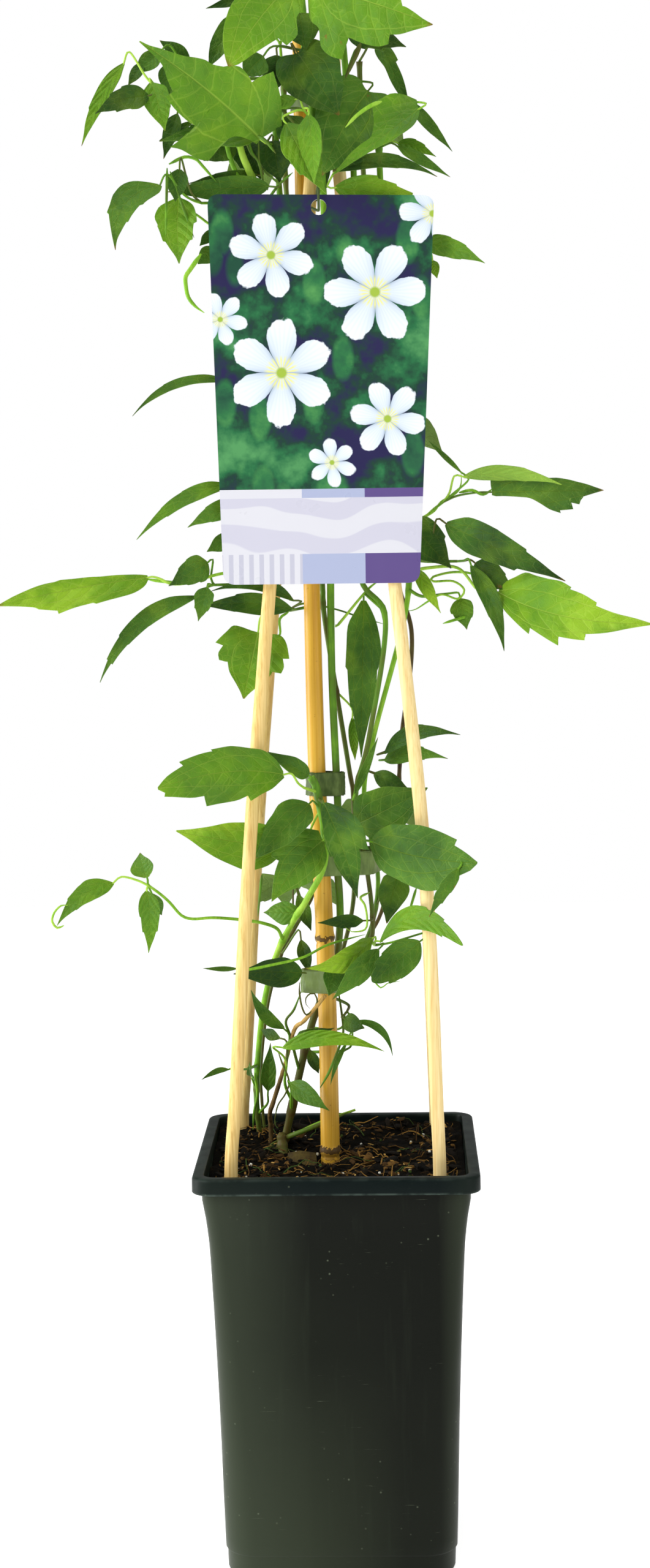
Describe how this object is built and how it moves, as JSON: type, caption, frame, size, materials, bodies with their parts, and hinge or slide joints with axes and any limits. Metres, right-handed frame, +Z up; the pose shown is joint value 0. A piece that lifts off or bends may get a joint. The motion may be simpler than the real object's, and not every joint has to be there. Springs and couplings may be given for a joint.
{
  "type": "potted clematis on a cane pyramid",
  "caption": "Young clematis in a deep square nursery pot, its thin leafy shoots tied up a bamboo cane inside a pyramid of stakes, with a picture label hung on the front.",
  "frame": {"origin": "middle of the pot's underside", "axes": "+Z up along the plant, -Y towards the front where the label hangs, +X to the right seen from the front"},
  "size_m": [0.2863, 0.1498, 0.7561],
  "materials": {
    "pot": "satin dark green-black, lightly scuffed",
    "soil": "rough dark peat and bark chips with straw fibres",
    "stake": "smooth pale split bamboo",
    "cane": "glossy ochre bamboo with dark rings at its nodes",
    "dead_stem": "dry brown bark, pale where cut",
    "leafy_shoot": "satin green leaves with paler veins and undersides",
    "tie_tape": "satin grey-green",
    "label": "glossy printed card"
  },
  "bodies": {
    "root": {"pot": "pot", "soil": "soil", "stake_front_left": "stake", "stake_front_right": "stake", "stake_back_left": "stake", "stake_back_right": "stake", "cane": "cane", "dead_stem": "dead_stem", "shoot_front_left": "leafy_shoot", "shoot_middle": "leafy_shoot", "shoot_left": "leafy_shoot", "shoot_front_right": "leafy_shoot", "shoot_right": "leafy_shoot", "shoot_back_right": "leafy_shoot", "shoot_back_left": "leafy_shoot", "tape_low": "tie_tape", "tape_middle": "tie_tape", "tape_high": "tie_tape", "tape_top": "tie_tape", "label": "label", "label_tie": "tie_tape"}
  },
  "joints": []
}
